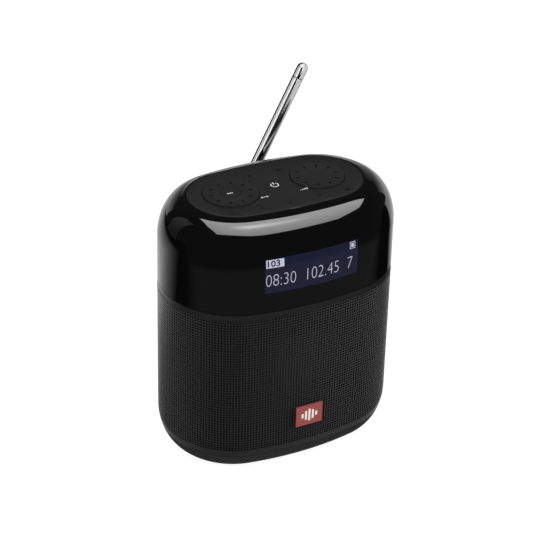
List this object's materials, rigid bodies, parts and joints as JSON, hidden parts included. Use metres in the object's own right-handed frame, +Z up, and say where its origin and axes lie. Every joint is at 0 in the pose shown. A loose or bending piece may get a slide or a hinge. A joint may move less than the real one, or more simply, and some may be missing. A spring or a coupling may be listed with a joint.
{
  "type": "tabletop radio",
  "caption": "Pill-shaped portable radio with a gloss cap, wrap-around perforated grille, control deck with turning dials and keys, front display and a folding telescopic antenna.",
  "frame": {"origin": "middle of the underside of the foot pad", "axes": "+Z up; the display and badge face -Y; seen from the front, +X is to the right"},
  "size_m": [0.1614, 0.1161, 0.2363],
  "materials": {
    "gloss": "high-gloss black",
    "grille": "satin black powder coat, finely perforated",
    "base": "satin dark grey",
    "plastic": "matte black",
    "deck": "matte soft-touch dark grey",
    "rubber": "matte black",
    "window": "gloss smoked window",
    "display": "dark blue liquid crystal panel",
    "badge": "satin muted red with a plain pale mark",
    "chrome": "polished",
    "steel": "plain",
    "aluminium": "satin",
    "magnet": "matte dark grey ferrite",
    "paper": "matte black pressed paper",
    "circuit": "green solder mask",
    "battery": "blue heat-shrink wrap"
  },
  "bodies": {
    "radio_body": {"acoustic_cabinet": "plastic", "antenna_bracket": "steel", "aux_jack": "plastic", "badge": "badge", "base_cover": "base", "base_screw_1": "steel", "base_screw_2": "steel", "base_screw_3": "steel", "base_screw_4": "steel", "battery_pack": "battery", "battery_tray": "plastic", "cabinet_lid": "plastic", "control_board": "circuit", "control_deck": "deck", "deck_frame": "plastic", "display_bracket": "steel", "display_module": "display", "display_window": "window", "driver_basket": "steel", "driver_cone": "paper", "driver_dust_cap": "paper", "driver_magnet": "magnet", "driver_surround": "rubber", "foot_pad": "rubber", "grille": "grille", "main_board": "circuit", "port_panel": "plastic", "radiator_frame": "plastic", "radiator_plate": "aluminium", "radiator_surround": "rubber", "top_cap": "gloss", "tune_encoder": "steel", "tuner_module": "steel", "usb_socket": "steel", "volume_encoder": "steel", "waist_band": "plastic"},
    "tune_dial": {"tune_dial": "deck", "tune_rotor": "plastic"},
    "volume_dial": {"volume_dial": "deck", "volume_shaft": "steel"},
    "scan_button": {"scan_button": "deck"},
    "power_button": {"power_button": "deck"},
    "front_key_1": {"front_key_1": "deck"},
    "front_key_2": {"front_key_2": "deck"},
    "front_key_3": {"front_key_3": "deck"},
    "front_key_4": {"front_key_4": "deck"},
    "front_key_5": {"front_key_5": "deck"},
    "rear_key_1": {"rear_key_1": "deck"},
    "rear_key_2": {"rear_key_2": "deck"},
    "port_flap": {"port_flap": "rubber"},
    "antenna_swivel": {"antenna_swivel": "chrome", "antenna_pin": "steel"},
    "antenna_arm": {"antenna_tongue": "chrome", "antenna_tube_1": "chrome"},
    "antenna_stage_2": {"antenna_tube_2": "chrome"},
    "antenna_stage_3": {"antenna_tube_3": "chrome"},
    "antenna_stage_4": {"antenna_tube_4": "chrome"},
    "antenna_stage_5": {"antenna_core": "chrome", "antenna_tip": "chrome"}
  },
  "joints": [
    {"name": "tune_dial_turn", "type": "hinge", "parent": "radio_body", "child": "tune_dial", "pos_m": [-0.0306, 0.005, 0.181], "axis": [0, 0, 1], "continuous": true},
    {"name": "volume_dial_turn", "type": "hinge", "parent": "radio_body", "child": "volume_dial", "pos_m": [0.0306, 0.005, 0.181], "axis": [0, 0, 1], "continuous": true},
    {"name": "scan_button_press", "type": "slide", "parent": "radio_body", "child": "scan_button", "axis": [0, 0, -1], "range_m": [0, 0.0006], "stiffness_N_per_m": 600},
    {"name": "power_button_press", "type": "slide", "parent": "radio_body", "child": "power_button", "axis": [0, 0, -1], "range_m": [0, 0.0006], "stiffness_N_per_m": 600},
    {"name": "front_key_1_press", "type": "slide", "parent": "radio_body", "child": "front_key_1", "axis": [0, 0, -1], "range_m": [0, 0.0006], "stiffness_N_per_m": 600},
    {"name": "front_key_2_press", "type": "slide", "parent": "radio_body", "child": "front_key_2", "axis": [0, 0, -1], "range_m": [0, 0.0006], "stiffness_N_per_m": 600},
    {"name": "front_key_3_press", "type": "slide", "parent": "radio_body", "child": "front_key_3", "axis": [0, 0, -1], "range_m": [0, 0.0006], "stiffness_N_per_m": 600},
    {"name": "front_key_4_press", "type": "slide", "parent": "radio_body", "child": "front_key_4", "axis": [0, 0, -1], "range_m": [0, 0.0006], "stiffness_N_per_m": 600},
    {"name": "front_key_5_press", "type": "slide", "parent": "radio_body", "child": "front_key_5", "axis": [0, 0, -1], "range_m": [0, 0.0006], "stiffness_N_per_m": 600},
    {"name": "rear_key_1_press", "type": "slide", "parent": "radio_body", "child": "rear_key_1", "axis": [0, 0, -1], "range_m": [0, 0.0006], "stiffness_N_per_m": 600},
    {"name": "rear_key_2_press", "type": "slide", "parent": "radio_body", "child": "rear_key_2", "axis": [0, 0, -1], "range_m": [0, 0.0006], "stiffness_N_per_m": 600},
    {"name": "port_flap_hinge", "type": "hinge", "parent": "radio_body", "child": "port_flap", "pos_m": [0, 0.0532, 0.03], "axis": [-1, 0, 0], "range_deg": [0, 100]},
    {"name": "antenna_swivel_turn", "type": "hinge", "parent": "radio_body", "child": "antenna_swivel", "pos_m": [0, 0.0575, 0.1444], "axis": [0, 1, 0], "range_deg": [-206.1, 153.9]},
    {"name": "antenna_tilt", "type": "hinge", "parent": "antenna_swivel", "child": "antenna_arm", "pos_m": [0, 0.0575, 0.1444], "axis": [-0.8918, 0, 0.4524], "range_deg": [0, 90]},
    {"name": "antenna_stage_2_slide", "type": "slide", "parent": "antenna_arm", "child": "antenna_stage_2", "axis": [0.4524, 0, 0.8918], "range_m": [0, 0.068]},
    {"name": "antenna_stage_3_slide", "type": "slide", "parent": "antenna_stage_2", "child": "antenna_stage_3", "axis": [0.4524, 0, 0.8918], "range_m": [0, 0.068]},
    {"name": "antenna_stage_4_slide", "type": "slide", "parent": "antenna_stage_3", "child": "antenna_stage_4", "axis": [0.4524, 0, 0.8918], "range_m": [0, 0.068]},
    {"name": "antenna_stage_5_slide", "type": "slide", "parent": "antenna_stage_4", "child": "antenna_stage_5", "axis": [0.4524, 0, 0.8918], "range_m": [0, 0.068]}
  ]
}
